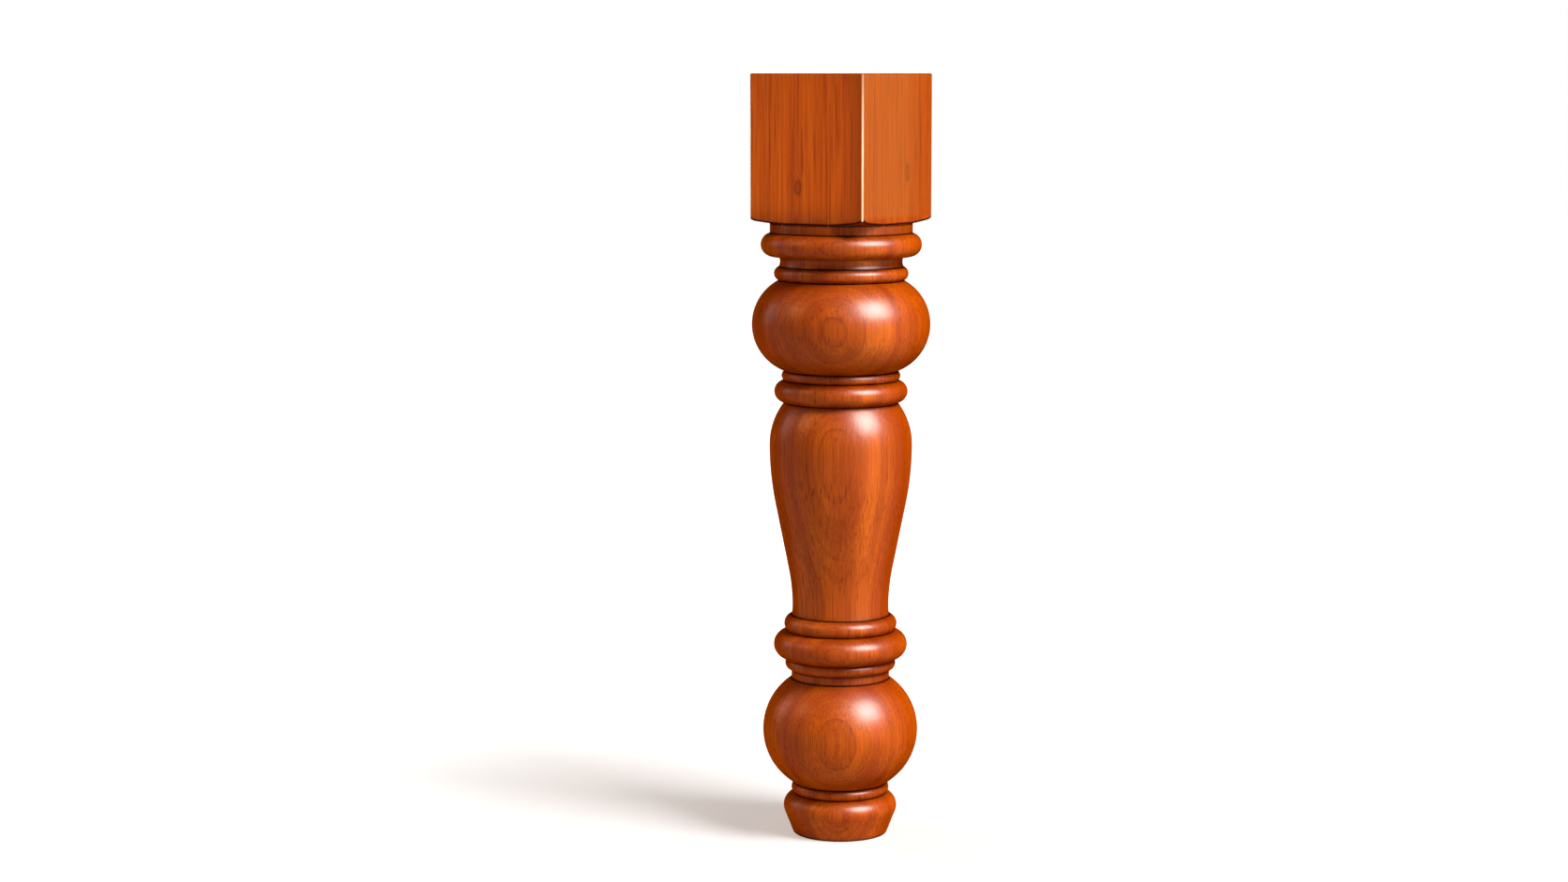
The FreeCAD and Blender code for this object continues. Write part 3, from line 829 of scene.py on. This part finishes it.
print("nodes so far:", len(timber.tree.nodes))

# %% [markdown]
# Lacquer is a thin clear film over the stain, and the Principled shader's coat
# is made for that. It lies thinner in the quirks, where it was wiped, and over
# the pores and fibres, and there is none on bare wood. A full-strength coat
# would lay the white studio over the dark timber as a grey veil, so its index
# is low and it fades where the surface turns away from the eye.

# %% Gloss of the lacquer
RIM_FADE = (0.2, 0.62)

dullness = 0.34 + smears * 0.14 + quirk_line * 0.25 + bare * 0.35
turned_away = timber.node("ShaderNodeLayerWeight", {}, {"Blend": 0.5}, "Facing")
gloss = (
    (1 - timber.ease(turned_away, *RIM_FADE))
    * (1 - bare)
    * (1 - quirk_line * 0.8)
    * (1 - settled * 0.2)
    * (1.0 - pores * 0.25 - fibre * 0.3)
)
print("nodes so far:", len(timber.tree.nodes))

# %% [markdown]
# Under the lacquer the surface isn't quite smooth. The turner's gouge leaves
# fine rings all round, late wood stands a little proud after sanding, pores
# are small pits, and the saw scored the top. They are far too fine to model,
# so a bump carries them.

# %% Relief, and the shader
LATHE_PITCH = 0.7
COAT_ROUGHNESS = 0.35
COAT_IOR = 1.22

lathe_marks = timber.bands(height_of / LATHE_PITCH, 2.0)
turned = 1 - timber.ease(height_of, neck_height - 1, neck_height + 1)
relief = (
    lathe_marks * turned * 0.35
    + ring_line * 0.3
    - pores * 0.6
    + hair * 0.25
    + kerf * on_top * 1.5
)
bump = timber.node("ShaderNodeBump", {}, {"Strength": 0.12, "Distance": 0.0004, "Height": relief})
lacquer = timber.node("ShaderNodeBsdfPrincipled", {}, {
    "Base Color": surface_colour,
    "Roughness": dullness,
    "Specular IOR Level": 0.0,
    "Coat Weight": gloss,
    "Coat Roughness": COAT_ROUGHNESS,
    "Coat IOR": COAT_IOR,
    "Normal": bump,
})
timber.node("ShaderNodeOutputMaterial", {}, {"Surface": lacquer})
print("stained wood:", len(timber.tree.nodes), "nodes")

# %% [markdown]
# The studio is a white floor and white surroundings, so that the leg stands
# free and only its soft shadow lies on the floor. Lamps strong enough to turn
# a grey floor white would burn out the timber. Instead the floor and the world
# glow only for rays that are seen, from the camera or in a mirror, so that they
# add no light of their own to the leg. Close to the leg the glow is weaker,
# and that keeps the shadow.

# %% Floor
FLOOR_HALF = 9.0
FLOOR_GREY = (0.53, 0.54, 0.55, 1.0)
PURE_WHITE = (1.0, 1.0, 1.0, 1.0)
# The warm glow near the leg paints the leg's shadow on the floor warm.
WARM_SHADOW_TINT = (1.0, 0.9, 0.83, 1.0)
NEAR_GLOW = 0.45
NEAR, FAR = 0.1, 1.0


def rays_seen(finish):
    """1 for a ray from the camera, or one that a mirror or a glass sends on;
    0 for scattered light."""
    kinds = ("Is Camera Ray", "Is Glossy Ray", "Is Transmission Ray")
    wires = [finish.node("ShaderNodeLightPath", out=kind) for kind in kinds]
    return (wires[0] + wires[1] + wires[2]).math("MINIMUM", 1.0)


floor_mesh = bpy.data.meshes.new("studio_floor")
floor_signs = ((-1, -1), (1, -1), (1, 1), (-1, 1))
floor_corners = [(FLOOR_HALF * x, FLOOR_HALF * y, 0) for x, y in floor_signs]
floor_mesh.from_pydata(floor_corners, [], [(0, 1, 2, 3)])
floor = bpy.data.objects.new("studio_floor", floor_mesh)
bpy.context.scene.collection.objects.link(floor)

floor_paint = bpy.data.materials.new("floor_paint")
floor_mesh.materials.append(floor_paint)
ground = Finish(floor_paint)
far_off = ground.ease(ground.node("ShaderNodeTexCoord", out="Object").length(), NEAR, FAR)
glow = (NEAR_GLOW + far_off * (1 - NEAR_GLOW)) * rays_seen(ground)
matt = ground.node("ShaderNodeBsdfDiffuse", {}, {"Color": FLOOR_GREY})
floor_tint = ground.blend(far_off, WARM_SHADOW_TINT, PURE_WHITE)
shine = ground.node("ShaderNodeEmission", {}, {"Color": floor_tint, "Strength": glow})
both = ground.node("ShaderNodeAddShader", {}, {0: matt, 1: shine})
ground.node("ShaderNodeOutputMaterial", {}, {"Surface": both})
print("floor %.0f m square" % (2 * FLOOR_HALF))

# %% Surroundings
AMBIENT = 0.16
AMBIENT_TINT = (1.0, 0.84, 0.74, 1.0)

world = bpy.data.worlds.new("studio")
bpy.context.scene.world = world
air = Finish(world)
seen = rays_seen(air)
air_tint = air.blend(seen, AMBIENT_TINT, PURE_WHITE)
air_level = AMBIENT + seen * (1 - AMBIENT)
sky = air.node("ShaderNodeBackground", {}, {"Color": air_tint, "Strength": air_level})
air.node("ShaderNodeOutputWorld", {}, {"Surface": sky})
print("surroundings white to the eye, %.2f to the leg" % AMBIENT)

# %% [markdown]
# The light is a photographer's. A large soft key lamp stands to the right of
# the camera and well above it, and throws the shadow to the back left. A weak
# low lamp far round on the left keeps that side from sinking away. A small
# lamp behind a grid adds a little on the front of the block alone. The bright
# marks on the balls, beads and vase are made by cards, which the lacquer
# mirrors and which light nothing else. One lamp could do both jobs, but then
# every change of a mark would change the colour of the timber.

# %% Lamps
VIEW_AZIMUTH = 32.2
WHITE = (1.0, 1.0, 1.0)
GOLD = (1.0, 0.62, 0.3)
AMBER = (1.0, 0.58, 0.1)
NO_GRID = 180


def lamp(name, azimuth, elevation, distance, size, watts,
         target=0.4, card=None, grid=NO_GRID, aside=0.0):
    """A soft rectangular lamp, placed by its direction from the leg and turned towards it.
    A card, given by its colour, is seen in the lacquer but gives no light of its own.
    A grid keeps the light to a beam of this many degrees, and glossy rays pass it by."""
    data = bpy.data.lights.new(name, "AREA")
    data.shape = "RECTANGLE"
    data.size, data.size_y = size
    data.energy = watts
    data.spread = math.radians(grid)
    data.color = card or WHITE
    shown = bpy.data.objects.new(name, data)
    shown.visible_diffuse = not card
    shown.visible_glossy = grid == NO_GRID
    shown.visible_camera = False
    bpy.context.scene.collection.objects.link(shown)
    turn, tilt = math.radians(azimuth), math.radians(elevation)
    flat = distance * math.cos(tilt)
    shown.location = (flat * math.sin(turn) + aside * math.cos(turn),
                      aside * math.sin(turn) - flat * math.cos(turn),
                      target + distance * math.sin(tilt))
    shown.rotation_euler = (math.pi / 2 - tilt, 0, turn)


lamp("key_lamp", VIEW_AZIMUTH + 54, 45, 4.5, (2.0, 2.0), 308)
lamp("key_card", VIEW_AZIMUTH + 52, 38, 4.5, (2.5, 2.5), 2200, card=WHITE)
lamp("strip_card", VIEW_AZIMUTH + 50, 0, 0.5, (0.2, 0.62), 7, target=0.33, card=AMBER)
lamp("left_lamp", VIEW_AZIMUTH - 115, 16, 4.5, (0.8, 1.8), 66)
lamp("left_card", VIEW_AZIMUTH - 72, 34, 4.5, (0.6, 1.5), 95, card=GOLD)
lamp("block_lamp", 0, 0, 1.2, (0.135, 0.142), 0.0318, target=0.674, grid=2, aside=-0.0135)
print("lamps: key, left and block, with three cards")

# %% [markdown]
# The camera stands level with the top of the leg, nearly three metres away,
# and looks down a little. It is turned a touch to the left, which brings the
# leg right of the middle of the picture, as in the photograph. A shift of the
# lens would do that too, but it would stay in every other view of the leg.

# %% Camera
PICTURE_WIDTH = 1672
FOCAL_PIXELS = 3200
SENSOR_WIDTH = 36
CAMERA_DISTANCE = 2.874
CAMERA_HEIGHT = 0.737
PITCH = math.radians(6.99)
LEG_RIGHT_OF_MIDDLE = 61.0

camera_data = bpy.data.cameras.new("camera")
camera_data.sensor_fit = "HORIZONTAL"
camera_data.sensor_width = SENSOR_WIDTH
camera_data.lens = SENSOR_WIDTH * FOCAL_PIXELS / PICTURE_WIDTH
camera = bpy.data.objects.new("camera", camera_data)
bpy.context.scene.collection.objects.link(camera)
view_turn = math.radians(VIEW_AZIMUTH)
camera.location = (CAMERA_DISTANCE * math.sin(view_turn),
                   -CAMERA_DISTANCE * math.cos(view_turn),
                   CAMERA_HEIGHT)
left_turn = math.atan(LEG_RIGHT_OF_MIDDLE / FOCAL_PIXELS)
camera.rotation_euler = (math.pi / 2 - PITCH, 0, view_turn + left_turn)
bpy.context.scene.camera = camera
bpy.context.scene.view_settings.view_transform = "Standard"
print("lens %.1f mm" % camera_data.lens)

# %% [markdown]
# A finer skin must not make a bigger leg.
